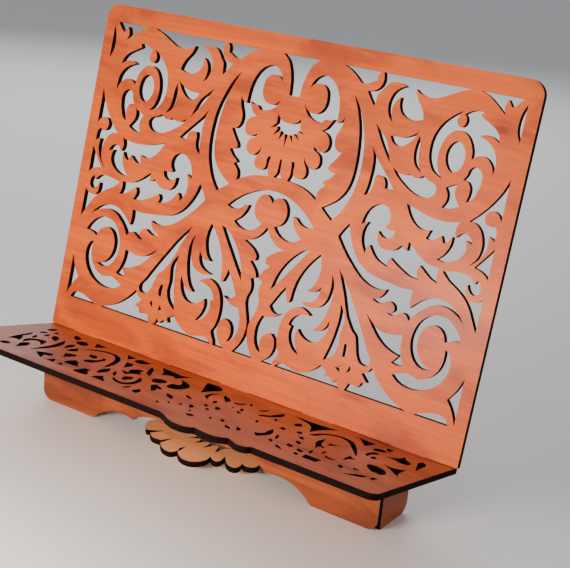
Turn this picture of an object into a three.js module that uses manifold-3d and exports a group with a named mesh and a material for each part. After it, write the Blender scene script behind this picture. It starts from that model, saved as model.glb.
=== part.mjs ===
// Tabletop music stand: a leaning fretwork backrest and a fretwork shelf at a right angle, carried by a
// low box base with a flower-fronted keel board, and steadied by a hinged rear leg.
// Millimetres. +X right, front = -Y, +Z up, table at z = 0, origin at the centre of the base footprint.
import * as THREE from 'three'
import { mergeVertices } from 'three/addons/utils/BufferGeometryUtils.js'
import Module from 'manifold-3d'

// ---------------------------------------------------------------- driving sizes
const ply = 4                    // thickness of every laser-cut sheet
const gap = 0.3                  // clearance left between parts that touch
const lean = 12                  // backrest lean from vertical, degrees
const panelWidth = 340
const panelHeight = 239          // above the shelf
const panelCornerRadius = 10
const bandHeight = 23.7          // solid band along the foot of the backrest
const topBorder = 12.2           // solid band along the top
const sideBorder = 8.5           // solid band down each side
const shelfInset = 1.5           // how far each end of the shelf stops short of the backrest's
const shelfDepth = 103
const shelfCornerRadius = 6
const battenWidth = 8            // width of the batten under the shelf's rear edge
const battenMargin = 4           // how far it runs on past the outermost tabs
const jointSetback = 38          // shelf/backrest corner behind the apron's front face
const jointHeight = 39.6         // shelf/backrest corner above the table
const baseInset = 30             // how far each end of the base stops short of the backrest's
const baseDepth = 37
const footRadius = 7.5
const keelTop = 8                // height of the keel board's upper face
const archTop = 17                // height of the arch in the front apron
const keelRibX = 26
const keelRibFront = 27
const heelHalf = 28              // half width of the leg's heel, between the hinges
const tabWidth = 24
const tabDepth = 2 * ply + gap
const legAngle = 38              // rear leg from vertical when it stands open
const legTopWidth = 128
const legFootWidth = 96
const hingeHeight = 15.5         // hinge axis above the shelf corner, along the backrest
const hingeX = 44                // hinge centre off the middle
const leafWidth = 22
const leafHeight = 11
const leafThick = 0.9
const barrelRadius = 1.7
const pinRadius = 0.8
const boreClearance = 0.25
const screwRadius = 1.5
const screwHead = 0.4
const axisOffset = barrelRadius + gap

const baseWidth = panelWidth - 2 * baseInset
const halfShelf = panelWidth / 2 - shelfInset
const tabCentres = [-2, -1, 0, 1, 2].map((k) => k * panelWidth / 5)
const rad = THREE.MathUtils.degToRad
const tan = Math.tan(rad(lean))
const cos = Math.cos(rad(lean))
const sin = Math.sin(rad(lean))
const layer = ply + gap          // one shelf layer and the glue line under it
const axisY = ply + axisOffset   // hinge axis behind the backrest's front face
const hingeZ = jointHeight + hingeHeight * cos - axisY * sin
const legLength = (hingeZ + axisOffset * Math.sin(rad(legAngle))) / Math.cos(rad(legAngle))
// The heel above the axis meets the backrest when the leg stands open.
const heel = (axisOffset - gap + axisOffset * Math.cos(rad(legAngle + lean))) /
  Math.sin(rad(legAngle + lean))

// Height of a plane parallel to the shelf, a distance below the shelf's top, at depth y.
const slope = (y, below) => jointHeight + (jointSetback - y) * tan - below / cos

// A point given along and below the shelf, as (y, z) in the base's frame.
const fromShelf = (along, below) => new THREE.Vector2(
  jointSetback + along * cos - below * sin, jointHeight - along * sin - below * cos,
)

// ---------------------------------------------------------------- finishes
const woods = {
  panel: [0xc4622f, 0.42],
  shelf: [0xb96a41, 0.4],
  base: [0x9a4a22, 0.5],
  keel: [0xd98f58, 0.45],
  brass: [0xb8924a, 0.32, 1],
}

function mesh(name, geometry, finish) {
  const [color, roughness, metalness = 0] = woods[finish]
  const node = new THREE.Mesh(geometry, new THREE.MeshStandardMaterial({ color, roughness, metalness }))
  node.name = name
  return node
}

// ---------------------------------------------------------------- outlines
// An outline is a closed curve through points "x,y"; "!" marks a sharp corner.
function read(text) {
  return text.trim().split(/\s+/).map((word) => {
    const sharp = word.endsWith('!')
    const [x, y] = word.replace('!', '').split(',').map(Number)
    return { x, y, sharp }
  })
}

const unit = (x, y) => {
  const l = Math.hypot(x, y) || 1
  return [x / l, y / l]
}

function smooth(points, step = 44) {
  const n = points.length
  const chord = points.map((a, i) => {
    const b = points[(i + 1) % n]
    return { d: unit(b.x - a.x, b.y - a.y), l: Math.hypot(b.x - a.x, b.y - a.y) }
  })
  const tangent = points.map((p, i) => {
    const before = chord[(i + n - 1) % n]
    const after = chord[i]
    const x = before.d[0] * after.l + after.d[0] * before.l
    const y = before.d[1] * after.l + after.d[1] * before.l
    return p.sharp ? null : unit(x, y)
  })
  const mirrorOf = (t, d) => {
    const k = 2 * (t[0] * d[0] + t[1] * d[1])
    return [k * d[0] - t[0], k * d[1] - t[1]]
  }
  const out = []
  points.forEach((a, i) => {
    const b = points[(i + 1) % n]
    const { d, l } = chord[i]
    let t0 = tangent[i]
    let t1 = tangent[(i + 1) % n]
    t0 = t0 || (t1 ? mirrorOf(t1, d) : d)
    t1 = t1 || mirrorOf(t0, d)
    const turn = (t) => Math.acos(THREE.MathUtils.clamp(t[0] * d[0] + t[1] * d[1], -1, 1))
    const parts = Math.max(1, Math.min(6, Math.ceil((turn(t0) + turn(t1)) / rad(step))))
    out.push(new THREE.Vector2(a.x, a.y))
    for (let k = 1; k < parts; k++) {
      const u = k / parts
      const h0 = 2 * u ** 3 - 3 * u ** 2 + 1
      const h1 = u ** 3 - 2 * u ** 2 + u
      const h2 = 3 * u ** 2 - 2 * u ** 3
      const h3 = u ** 3 - u ** 2
      out.push(new THREE.Vector2(
        h0 * a.x + h1 * l * t0[0] + h2 * b.x + h3 * l * t1[0],
        h0 * a.y + h1 * l * t0[1] + h2 * b.y + h3 * l * t1[1],
      ))
    }
  })
  return out
}

// A field is where an outline lies: x within its half width, y between low and high.
const refit = (points, from, to) => points.map((p) => ({
  ...p,
  x: p.x * to.half / from.half,
  y: to.low + (p.y - from.low) * (to.high - to.low) / (from.high - from.low),
}))

const flip = (points) => points.map((p) => ({ ...p, x: -p.x })).reverse()

// A half outline from the centre line round to the centre line, closed by its mirror image.
function symmetric(text) {
  const half = read(text)
  return [...half, ...flip(half.filter((p) => p.x !== 0))]
}

// ---------------------------------------------------------------- fretwork of the backrest
// Drawn on one field and carried to the panel's, inside its borders.
const panelDrawn = { half: 161.5, low: 23.7, high: 226.8 }
const panelField = { half: panelWidth / 2 - sideBorder, low: bandHeight, high: panelHeight - topBorder }
const crown = '14.5,226.8! 9.5,222.5 7,217.5 5.3,212 4.4,206 4,200.6!'
const stemSlit = '0.8,158.4! 1,152 1.3,149 3.6,145.6!'
const petalSlits = `
  8.4,158.6! 9.2,153 9.1,149.5 7.6,145.4! 15,144.7 22,143 27.5,140.6 32.3,137.6! 32,141 32.8,144.2
  34.8,146.6 37,148.5! 34.2,150! 35.6,151.2 39,153.6 42.5,157.6! 39,158.3 36.3,159.5! 36.8,161.6 39.2,164.8
  42,168.5 44,171.5! 40,172.4 38.2,174.6 37.3,178 37.8,182.5 39.5,186.2 40.8,190.2 41.3,195.2! 38.4,190.6
  36,189.8! 35.8,196 35,202 33,208 29.5,213.4 25,216.7 20,217.8 15.5,215.8 12.4,212.2 11,208.2!
  13.6,210.9 17,212 21,211.4 24,208.4 25.2,203.4 24.8,198.2 22.5,194.4 19,192.5 15,192.4 12,194 9.3,197.2!
  11,193.6 13.4,190.6 17,188.5 21,187.6 24.2,187.4! 26.9,189.9! 30.2,190.1 33.6,191.3! 31.3,187.6
  29.2,184.6 26,182.5! 29,181.8 31.6,180 33.3,177 33.5,173.5 32,170.3 30,169 27.4,168.9 24.6,170.4
  22.6,171.4! 23.2,169.4! 25.4,168.3 28,166.5 29.3,163 28.8,159.5 26.5,157.3 23.5,156.8 20.5,158.7
  17,163.4! 18,159.6 20.2,156 20.8,152.5 19.2,149.6 16.4,148.5 13.6,148.8 11.6,150.4 11,153.6 10.3,158.6`
const eye = `
  0,182.5 3,182.8 6.5,184.3 9.2,187.3! 9.3,184 9.1,181.3! 13.5,177! 8.4,179.2! 7.6,177.6! 10.6,172.6!
  5.4,176.6! 4.6,175.6! 5.6,170.2! 2.4,175.2! 1.2,175! 0,166.4!`
const heartArch = `
  0,136.3 5.5,136.3 11,135.2 18,132.5 25,128.7 31,124 35.3,119.8! 31,118.7 27,119.1 23.2,121 20.6,123.2
  18,123.6! 19.3,119.5 21.8,115.4 27.5,110.5! 23,107.8 17.5,106.6 12,107.8 8.2,110.2 5,113.7! 8.6,115.2
  11.3,117.8 12.8,121.5 12.8,126 10.8,130.4 7.3,133.2 3.8,132.8 1.3,130.8 0,128.3!`
const starAndStem = `
  0,112.5! 2.5,108.4 6,104.6 10.5,101.7 16,100! 11,97.8 6.2,94.6 3.8,91.2 4.4,88.4! 8.2,87.3! 4.6,84
  2,80.7 0.7,77.5! 4.8,76! 3.4,72 3.3,67.5 4.8,63.6 5.2,60 4,55 2.2,50 0.9,45.4 0.7,41 1.6,36 3.5,31
  6,27 8.5,23.7!`
const lyreSlit = `
  44.6,209.7! 48.4,205.3 52.2,199 56,190 58.7,181 60,170.5 60,160 58.6,150 55.6,141 51.4,133.4 46.5,127.4!
  42,130.6 37.5,134.1! 43,137.6 49,142.6 53,148.6 55,155 55.8,163.5 55.5,173 54.3,183 52,193 48.8,201.2`
const topWedge = `
  33,226.8! 38,224.7 43.2,221.3 48.3,217.6! 52.5,218 56,219.8 58.4,220.9! 58.4,223.6 60,226.8!`
const leafHook = `
  62.3,226.8! 63.3,222.2 62.2,218 58.8,214.8 53.3,213.4! 56.4,209.2 60.1,204.8! 60.7,209 61.2,212.6
  63.6,215.6 66,218.8 68.6,221.3 72.4,222.3 76.4,222 80,220.9! 76,219 72.6,216 70.4,211 70.3,205
  72,200.6 75.5,197! 73.5,202 73.4,207.6 74.9,211 77.6,213.6! 77.9,208.6 79.9,204.6 83.4,202.2 88,201.3
  92.6,201.7 96.1,202.8! 95,206.6 92.4,211 89,215.2 87,220.4! 90.4,218.2 96.4,217.1 103,217.7
  110,220.8 117,224.3 124.4,226.8!`
const cornerWedge = `
  130.2,226.8! 136,224.5 142,220.4 148.6,215.2! 147.2,219.8 148.9,224.6! 151.9,220.4! 154.6,222.2
  156.4,224.4 158.4,226.8!`
const sideSliver = '161.5,224.2! 159.1,218.4 158.2,211.6 158.9,206 161.5,200.6!'
const ringScroll = `
  121.6,213.1! 116,209.3 110,203.4 106,196 104.7,187.6 106,179.6 110,173.4 117.2,169.8! 113.3,174.5
  111.4,181 111.6,188.6 114,195.4 118,199.8 123,201 127.4,199.3 131,195 133,190.2 133.5,185.3! 137,188
  141,188.7 144.9,187 147.5,184 149.4,179! 149.8,184 149,189.2 146,194.4 141.5,197.9 135.3,200.2!
  139.6,201.6 144,201.1 149.3,198.2! 147.5,203 143.4,206.9 138.4,209.6 133.4,212.2! 134.9,214.5!
  130.5,214.8 126,213.3 122.9,211.2! 124.4,209.6 125,207 124,204.3 122,203.1 119.8,204.2 118.8,207
  119.8,210.4`
const ringEye = `
  122.6,194.4 126.9,192 129,187 128.6,181 126.2,176.8 122.5,175.2 118.8,177.8 116.5,183 117,189.4`
const podHook = `
  136.8,181.3 134.2,179.3 133.2,175.6 131.2,172.2! 134.6,171.6 136.8,168.6 137.1,164.2 136,159.2! 139.2,161.2
  141.3,165.2 143,171 143.1,176.6 140.6,180.4`
const smallBell = `
  120.9,165.5! 123,162 123.3,157.8 121,152.8! 127,153.5 132.4,156! 130.4,158.6 128.4,161.4 127.6,165.4
  128.8,169.3! 124.4,167.4`
const longLeaf = `
  82.2,170.4! 86,166 92,161.5 99,157.7 106,156.2 111.4,157 114.6,160 115,163.4 113.2,165.6 109.4,166.9
  104.6,169.4! 101.4,167.2 98,167 95.3,168.5! 92.4,167.2 88.6,167.3 85.4,168.6`
const stemSliver = '96.3,193.4! 95,187.2 95,180 96.8,175 102.6,170.2! 99.6,175 98.1,181 97.7,187.4'
const cap = '76,188.9! 79.4,189.3 83.4,189.3 90,191.4 95.3,195.1! 91.4,188.8 87,185 82,183.8 78.4,185.5'
const longDart = '64.2,194.9! 67.3,189.4 71.4,183 75.4,177.6 79.9,172.1! 78,177 76.3,181.4 74,185.6 69.4,190'
const tornLeaf = `
  65,180.7! 67,175.4 68.2,168 68,160 67.4,153.6 66.2,148.4! 69.6,151 71.4,156 71.5,160 72.4,163.2!
  74.6,163 77,162.8 79.3,160 80,156! 83,156.2 86.2,156.7! 81,162.5 75.4,168.2 70,173.8`
const leafSpear = `
  36.3,105.5! 31,103.6 26.5,100 21.5,94.6 17.5,88.6 14.5,82 12,72.2! 16.5,78 21,84 26.5,91.6 31.6,98.6`
const stemWorld = `
  44.7,104.8! 46.5,99 47,93 45.7,87 43.4,82.2 40,79! 44.4,79.1 47.6,80.8 50,84.2! 49.8,79.4 48,75.4
  44.4,72.4 37.3,70.4! 42,69 47,69.2 51.4,71 54.8,74.6 56.7,80 57.2,87 56,94.6! 58.7,89 59.7,83 59.3,76
  58.2,70 56.4,64 53.8,59 49.8,54.8! 54,55.3 57.5,57.3 59.8,60.5 61.3,64.9! 61.3,59 59.4,53.4 56,49.1
  51,46.9 46,47.5 42,49.7 39,52.7! 38,49.5 38.4,45 40.3,40.4 43.4,36.2! 38.4,38.2 34.6,42.8 33.1,48.4
  33.8,53.2! 31.3,54! 33,58 36.3,61.3 41,63 46.4,63.5! 43,65.8 38.5,67.2 33.5,65.9 29,62.2 26,56.4
  24.7,50 24.7,44 25.8,38 28.5,32.4! 26.8,29 25.4,26.6 24.7,23.7! 15.5,23.7! 19.5,26.6 22.7,31 23.7,37
  22.7,41 20,43.8 16.5,43.3 13.6,40.8 12.2,37 12.5,33 14.3,29.1! 10.4,31.3 7.9,35.5 6.8,41.5 7.5,48
  10,54! 14.2,54.1 19,55.8 23.8,59.1! 20,57.8 16.6,59 14.1,62! 17,67 20,72.1 23.8,77.5! 24.8,73
  26,69.8 27.6,67.8 28.8,70 29.3,76 30.8,83 34,90.5 38.5,97.6`
const bandGarland = `
  26.9,23.7! 29.6,26.1 33.5,27.3 38,26.4 44,25.1 49,25.7 54,28.1 58,31.1 61.6,34.8! 64,33.2 66.8,31.5!
  65.6,28.2! 69,29 70.8,28.2! 72.5,26.1! 75.8,28.8! 76.3,25.8! 78.5,23.7!`
const tallWedge = `
  60.2,99.4! 63.7,91.5 67.3,84 70.5,76 73.4,69.6 75,67.3! 78.7,62.5! 81.7,60 83.7,54.6 86,47.6 88.3,44.4
  92,43.1 95.3,44.1 96.2,47 92.5,53 86.5,63 79,74.6 71,86.4`
const fanSide = `
  66.8,77.2! 67.7,70 67.2,61 65.6,51 62.2,38.2! 66.8,41.3 70,45.5 71.2,50.6 70.8,57 71.4,62.4 71.9,67
  70.7,71.2 68.9,74.6`
const fanSlit = '76.3,53.4 75.6,49 75.7,44.4! 78.2,45.6 78.4,49.4 77.6,52.4'
const fanLeft = '75.4,40! 74.6,37.4 72.2,36.4! 76,34.2!'
const fanRight = '82.3,40.4! 81.9,37.6 80.8,35! 84.4,37.6!'
const cornerSweep = `
  98.4,43.7! 96,40.2 91.9,37.9! 94.6,35.4 97,33.1! 93.2,32! 92.4,30 91,28.2! 88,29.2 84.2,29! 83.2,26.2
  82,23.7! 127.8,23.7! 121.6,25.8 114,29.4 106,35.4 101.5,40`
const bandSliver = '133,23.7! 140,26.6 147,28.5 153,28.3 155.8,26.6 157.2,23.7!'
const cornerHorn = '161.5,55.2! 158,46.4 153.2,39.3! 157,34.5 159.6,29.6 161.5,24.8!'
const ringC = `
  153.6,76! 151,80.4 147,84.5 141.5,87.6 135.5,88 129.4,86 124.4,81.4 121.5,75 120.6,68.4 122,61.6
  125.5,56 130.2,53.1 134.2,52.8 138.2,54! 133,55.6 129.3,58.6 126.5,63 125.4,69 126.5,75 129.5,79.4
  134,81.3 138.4,80.3 141.5,77.3 143.2,73! 148,75.2`
const crescentC = `
  144.9,68.8! 145.2,62.4 143.8,56 140.5,51 136,47.5 131,45.9 127,46.5 123,47.3 118.4,46 112.8,43.5!
  117,40.4 122.4,38.6 129.4,38.4 136.6,40.4 143,44.4 148,50.6 150.3,58 149.6,63.8 147.2,67.8`
const lowLeaf = `
  85.8,76.8! 91,70.4 97,64 104,59.2 110,57 114.8,56.1! 112.6,53.2 110.5,50.6! 115,50.1 119.4,50.9!
  116.5,56 114.7,62 114.3,69.6! 108,68.2 101.5,67.6 96,69.1 90.4,73`
const sweepBand = `
  60.8,129.2! 57.4,124.6 54.2,119! 60,112 68,104.1 77,97 85.6,93.6 92.4,93.3 96.8,94.7! 95.2,91 92.4,88
  88,86.2! 92.4,84.8 96.6,86 100.4,87.8 103.5,86.6 105.1,82.8! 103,81 100,80.2! 104,79.6 107.6,81.4
  111,83.2 114,82.1 115.9,79.2! 117.2,81.2 119.8,84.8 123.8,88.8 129.2,92.7 135,94.2 141,93.7 147,91.2
  152.8,86.9! 148.5,91.8 143,95.7 136.5,97.8 130,97.6 123.5,95 118.4,91 115,87.5! 114.2,91.4 114.3,95
  114.8,98.8! 106,98.2 97,99.2 88.4,100.2 80.6,102.2 73,106.8 67,114 63,122`
const bigLeaf = `
  69,130.5! 70,136 72.6,141.4 77,145 81.6,146 86,144.4 88.5,140.2 88.1,135.4 86,132.6! 89.6,131.3
  93.8,131.7! 93,128.4 90.2,126.1 86.5,125.8 83.8,127.2 82,129! 82.3,124.6 84.5,120.6 88,118.8 92,118.7
  96,120 100,124! 101.9,122.5 104.6,121.6! 104.6,127.7! 108,125 113,121 119,117.8 124.4,116.5 128.4,116.5!
  128,111.6 129.3,106.9! 124,108.8 119.6,111.8 115.4,114.9! 114.2,111.6 114.9,108.6 116.6,105.9!
  110,106.5 104,109 99,111.6 94.4,114.5! 93,111.6 93.9,108.3! 90,109.3 85,111.4 81,115 78,119!
  76.4,116.6 75.7,113.1! 72.6,118 71.2,123.6 71.8,129 73.8,133.1! 71.4,132.2`
const hookedLeaf = `
  97.4,150.2! 101,143.8 105.5,139.2 111,136.8 117.4,137.8! 116.3,134.8 115.3,131.9! 119,131.7 122.6,133.8
  125.4,136.1! 127.5,131.8! 130.4,133.4 132.8,137.1! 132.7,132.4 131,127.6 128.6,124 125.5,121.2!
  130,120.7 136,122.5 141,126.2 143.2,131 142.7,134.6 141.8,136.9! 144,136.5 146.4,135.2! 145,138.6
  142.4,140.6 139,140.8 136.9,139.4 135,137.3! 133.8,140.6 134.1,144 135.4,146.8! 128,145.3 120,145.1
  111,146.4 104,148.3`
const berryStem = `
  161.5,178.8! 158,170 153,161.8 147.5,155 141.2,148.7! 145.5,148.4 149.3,145.5 152,140.6 153,134 151.6,128
  147.1,122.2! 151,125.4 154.3,130 156.5,136 156,142.6! 158.3,141.8 159.9,140.2! 160.3,144.6 159.5,148
  157.3,150.1! 154.6,148.8 151.8,150.3 150.8,153.7 152,157 155,158.2 158.6,157 161.5,153!`
const sideTriangle = '161.5,136.3! 156.2,129 151,122.3! 156,121 159.2,119.2 161.5,116.9!'
const hookHole = `
  131.2,115.3! 137,116.4 144,117.3 149.6,116.5 153.9,112.6! 155.2,115.4! 157.6,113.2 158.3,109.6
  156.8,106.6 153.8,105.9 151.3,107.7 149.4,111.2! 149.1,107 150.3,103.3 153,101.6 157,102 161.5,104.8!
  161.5,83.6! 158,89.8 153.5,97.5 148.5,103 142,107.4 136,110.8`

const halfOpenings = [
  petalSlits, lyreSlit, topWedge, leafHook, cornerWedge, sideSliver, ringScroll, ringEye, podHook, smallBell,
  longLeaf, stemSliver, cap, longDart, tornLeaf, leafSpear, stemWorld, bandGarland, tallWedge, fanSide,
  fanSlit, fanLeft, fanRight, cornerSweep, bandSliver, cornerHorn, ringC, crescentC, lowLeaf, sweepBand,
  bigLeaf, hookedLeaf, berryStem, sideTriangle, hookHole,
]
const centreOpenings = [crown, stemSlit, eye, heartArch, starAndStem]

function backrestOpenings() {
  const sides = halfOpenings.flatMap((text) => [read(text), flip(read(text))])
  return [...sides, ...centreOpenings.map(symmetric)]
    .map((points) => smooth(refit(points, panelDrawn, panelField)))
}

// ---------------------------------------------------------------- fretwork of the shelf
// Seen from above, with y = 0 at the backrest and the front edge of the drawn field at its low side.
const shelfDrawn = { half: 168.5, low: -103, high: 0 }
const shelfField = { half: halfShelf, low: -shelfDepth, high: 0 }
const scallops = `
  16,-103! 21,-105 28.6,-110.4 35.5,-113.4 42.3,-113 47,-107.8! 50.6,-108.6 55,-109.4 62.4,-109 68.6,-102.8!
  73,-105.4 79,-108.2 84,-106 85,-103!`
const shelfOpenings = [
  '-151,-14 -149.4,-17.5 -151.6,-24 -154,-21', '-145,-21! -139.5,-24.5! -143.5,-27.4!',
  '-147.4,-29! -145.4,-33 -148,-36.5! -149.6,-33', '-142.4,-31! -138.8,-37 -139,-41.4! -142,-36.6',
  '-137.6,-30! -131,-34 -126.6,-43.6! -132,-40.4 -136,-36.4',
  '-149.6,-41! -145.4,-48 -144,-57 -139,-63 -135.4,-70! -139,-69.6 -141.6,-75.6! -144.6,-67 -147.4,-54',
  '-143.4,-44! -138.6,-49 -137.6,-55! -141,-50.6',
  '-137,-58! -133.6,-52 -129.4,-50 -125,-54 -120.8,-64! -126,-58.6 -130.4,-57 -132.6,-61.6 -131.4,-70.4! -135,-66',
  '-128.6,-66.6! -125,-70 -122,-78 -123.4,-86! -126.4,-80 -129.6,-74',
  '-133.6,-81 -130,-85 -131,-88.4! -136.6,-86.6',
  '-126,-33! -119,-42 -115,-52 -113.4,-65 -115,-80! -117,-68 -118.4,-57 -121.4,-46',
  '-135,-12.6! -128,-14 -125.4,-18 -124.4,-22.6! -129,-20.2',
  '-120,-20 -115.6,-20.6 -111.6,-30! -118,-29.6 -121.4,-26',
  '-115.6,-34! -112,-39 -110.6,-51! -114,-46 -116.4,-38.6',
  '-113.6,-12.6! -102.6,-14! -106,-23.6! -110,-18.6',
  '-107.4,-40! -104,-43.6 -102,-48 -106,-54.6! -107.4,-47',
  `-104.6,-40! -102.4,-31 -98,-25 -90,-22.4 -82,-25 -76,-31 -71,-40 -67.6,-49 -65.6,-62! -69,-54 -71.8,-47
   -75.2,-39.6 -79.6,-32.4 -84,-28 -90,-25.6 -96,-28 -100,-32.4`,
  '-93,-43! -87.4,-42.6 -85,-50 -88.6,-49', '-100.6,-61! -97.6,-57 -94,-56 -92,-62 -94,-71.4! -97,-65',
  '-106,-75 -102.6,-72.4 -98.6,-74.4 -98.4,-79 -101.4,-80! -97,-88.4! -104,-84 -109.4,-79.6!',
  '-91.4,-79.6! -88,-84.4 -85.6,-88.6! -92,-88!',
  '-83.4,-40! -79,-43 -77,-52 -77,-60 -80,-63.4 -84,-58 -81,-51.6',
  '-84.6,-67! -80,-70 -76,-75 -71.6,-78.6! -76,-80 -84,-80.4! -85.6,-74',
  '-82.6,-82.6! -78,-88.6! -83,-88.4!', '-85,-12.6! -75.6,-13.6! -76,-23.6! -80,-18',
  '-71.6,-12.6! -61.6,-13.6! -63,-20 -67,-23.4 -71.4,-20.6',
  '-70.6,-30.6! -64,-30.6 -62,-36 -61.6,-45! -66,-38',
  '-53,-12.6! -41,-14 -33,-14.6 -28,-8.6! -29.6,-20 -30.6,-28! -34.4,-24 -39.6,-31! -44.6,-22 -49,-17',
  '-56,-20.6! -51,-25 -46,-33 -40.6,-41.6! -44.4,-40.6 -48,-36 -52,-29',
  '-55,-37! -51,-36 -49,-42 -44.6,-46! -48,-50 -50,-57.4! -57.6,-51.6! -52.4,-50.6! -56,-44',
  '-62.6,-57! -59,-62 -57,-69 -58,-76.6! -61,-72 -63.4,-64',
  '-68,-76.6! -63.6,-75.6! -61,-82 -56.6,-87 -68,-88!',
  '-51,-77.6! -46.6,-82.6 -40.6,-88! -53,-88! -52.6,-83',
  '-42.4,-57! -39.6,-62 -40,-71.4! -44,-67 -45.4,-62',
  `-40.4,-52.6! -35,-57 -32,-65 -30.6,-74 -34,-80 -40,-79.4 -47,-72! -41,-75.4 -36.6,-76 -34.6,-71.6
   -35.4,-64 -38,-58`,
  '-29.4,-38.6 -26,-42 -26,-48 -29.4,-52 -34,-48 -34.6,-42',
  '-27.6,-24! -20,-27 -14,-32 -11,-40 -12,-48 -17,-52 -21,-48 -22.6,-40! -18.4,-37.6! -22,-30',
  '-25,-54! -20.4,-56.6 -16,-60 -18.6,-63! -15,-68 -15,-73.4! -18,-69 -22,-64 -25.4,-59',
  '-21.4,-76! -18,-79 -16,-86.6! -20,-85.6 -21.4,-81',
  '-15.6,-9.6! -2,-11 0.6,-15 -1,-27 -1.6,-37! -6,-28 -11,-19', '-8.6,-64! -2,-66 1,-72.4! -4.6,-69',
  '-1.6,-52! 3,-54 7.4,-58.4! 2,-57', '6.4,-25! 5.4,-31 6.6,-38 10.6,-45.6! 6,-42 3,-35 4,-28',
  '9,-23.6! 15,-27 19,-31 19,-37.4! 15.6,-33 12,-29', '15,-41! 18,-45 18,-49.4! 15,-45',
  '21.6,-30.6! 25,-29 27.4,-25! 28,-30 25,-33', '28,-40.6! 31,-44! 28.6,-44!',
  '33,-37.6! 36.4,-41 36.6,-44.4! 34,-41.6', '35,-46.6! 39.4,-48.6 38,-50.6!',
  '40,-28! 43.4,-20.6! 44,-25 41,-29.4', '52,-16! 55.4,-22 54,-31 48,-40.4! 46,-37.6 49.6,-32 51,-24',
  '24,-53! 29,-57 28,-60.4! 25,-57', '13.6,-67.6! 17,-69 19,-72 18.4,-75.6! 15,-71',
  '28.4,-86 31.4,-88 29,-91 26,-89', '56.6,-77! 61,-79 61.4,-84.4! 58,-80',
  '69,-55! 72.4,-60 75.4,-69 74,-76 73,-80.6! 68,-75! 71,-71.6 70,-62', '70,-24! 72.4,-26 72.4,-33! 70,-32',
  '57,-12! 70,-12.6 84,-10.6 90,-8.6! 85.6,-17 83.4,-26 83,-35! 80.4,-29 77,-23 71.6,-18.2 64,-15',
  '105,-8.6! 117.6,-9.6! 116,-21.6! 110.6,-15',
  `85.8,-41! 87.8,-30 92,-23 99.6,-19.4 107,-21.4 114,-29 120,-38 125.4,-49! 118.6,-40.4 112,-32 105,-24.8
   99,-22.4 93.6,-25.4 90.4,-31.4 89,-38`,
  '96,-36! 98.6,-43 103,-52 107,-54! 104.4,-58 105,-63! 100.6,-56 96.4,-47',
  '103,-42! 109.4,-40.6! 106,-45 104,-48.4!', '122.6,-50! 124.6,-53 128.6,-54! 126,-58 125,-65.4! 123,-57',
  '115,-68! 119,-69.4 123.4,-68.6! 121,-72 117,-71.4', '108,-79.6! 119.4,-79! 119,-86.4! 110,-87!',
  '126,-8.6! 131,-9.6! 130,-15! 127.6,-13.6', '121.6,-19! 126,-15.6 130,-18 127,-22 123,-24!',
  '126,-26.6! 129.4,-26.6 127.4,-34 128,-40.6! 125,-36 125,-30', '131,-35.6! 133.6,-38 132,-41.6! 130,-39',
  '134,-26.6! 139.6,-22 141,-14.6! 145,-19.6 149.6,-23 150,-28.4! 146,-29.4 141,-27.6',
  '152,-10.6! 156,-15 157.4,-25 158.4,-34! 155.6,-28 153,-21 151,-16',
  '141.6,-43! 148,-44 154.6,-38.6! 155,-44 155.4,-50 158.6,-58! 153,-52.4 147,-47.4',
  '137,-53.6 144,-52.6 150.4,-57 152.4,-62 149,-67.4 143.6,-64 138.6,-59',
  '136,-70.6! 141.4,-71! 138,-74.4!', '149.4,-76.6! 148,-82 142,-86 137,-88.4! 141,-84 144,-79.6',
  '151,-76! 154.6,-73.6! 154,-80! 152,-79.6!',
  '-57,-57.4! -53.4,-61.6 -50.6,-65.6 -48.8,-69.4! -51.6,-67.6 -54.6,-63.4',
  '-28.4,-76! -26.4,-81 -27.2,-87! -29,-82', '17.2,-56.4! 20.4,-57.8 20.8,-61! 18.2,-59.6',
  '23.2,-63.4! 26,-64.4 26.8,-67.4! 24.4,-66.6', '9.8,-73.6! 12.4,-74.6 12.4,-77! 10.4,-76.4',
  '3.6,-77.6! 6.4,-80 8,-82.4! 5.2,-81', '0.4,-85.4! 3,-86.6 3.8,-89! 1.6,-88.2',
  '21,-78.4! 23.6,-80.4 24.8,-82.8! 22.4,-81.2', '42.4,-73.4! 45.6,-74.8 46.6,-78.2! 43.8,-77',
  '36.4,-77! 39,-79.6 39.8,-82.4! 37.4,-80.4', '51,-81.4! 55.4,-83 58,-87.2! 53.6,-85.8',
  '53,-49.4! 55.6,-51.6 56.6,-55.4! 54,-53.4', '69.6,-44.6! 72.8,-46.4 72.4,-50.4! 70,-49',
  '79.4,-40.4! 82.6,-42 82.6,-46! 80,-45', '56.6,-33! 58.8,-34.6 59.6,-38! 57.4,-36.6',
  '29.2,-20.8! 31.4,-22.8 32.2,-26.4! 30.2,-24.8', '77.4,-62! 80.4,-66 82.6,-73! 79.4,-69',
  '80.4,-75! 83.4,-77.6 84.6,-81! 81.6,-79.4', '90.4,-60! 94,-62 95,-66! 91.8,-64.6',
  '91,-71.6! 95.4,-73.4 95.4,-77! 92.6,-76', '99.4,-74.4! 104,-76 104.6,-79.4! 101,-78',
  '105.4,-66.4! 107.4,-70 108.4,-76! 106,-72', '88.6,-81.6! 93,-84 96.4,-87.4! 91.6,-86.4',
  '102.6,-82.6! 105.8,-84 106.2,-87! 103.6,-86', '110.6,-59! 112.2,-63 112.4,-68! 110.8,-65',
  '129,-74.6! 132.4,-76.4 132.6,-80! 130,-78.8', '86.4,-49.6! 89.6,-51.4 90.2,-55! 87.4,-53.8',
].map((text) => refit(read(text), shelfDrawn, shelfField))

// ---------------------------------------------------------------- solids
const wasm = await Module()
wasm.setup()

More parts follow.
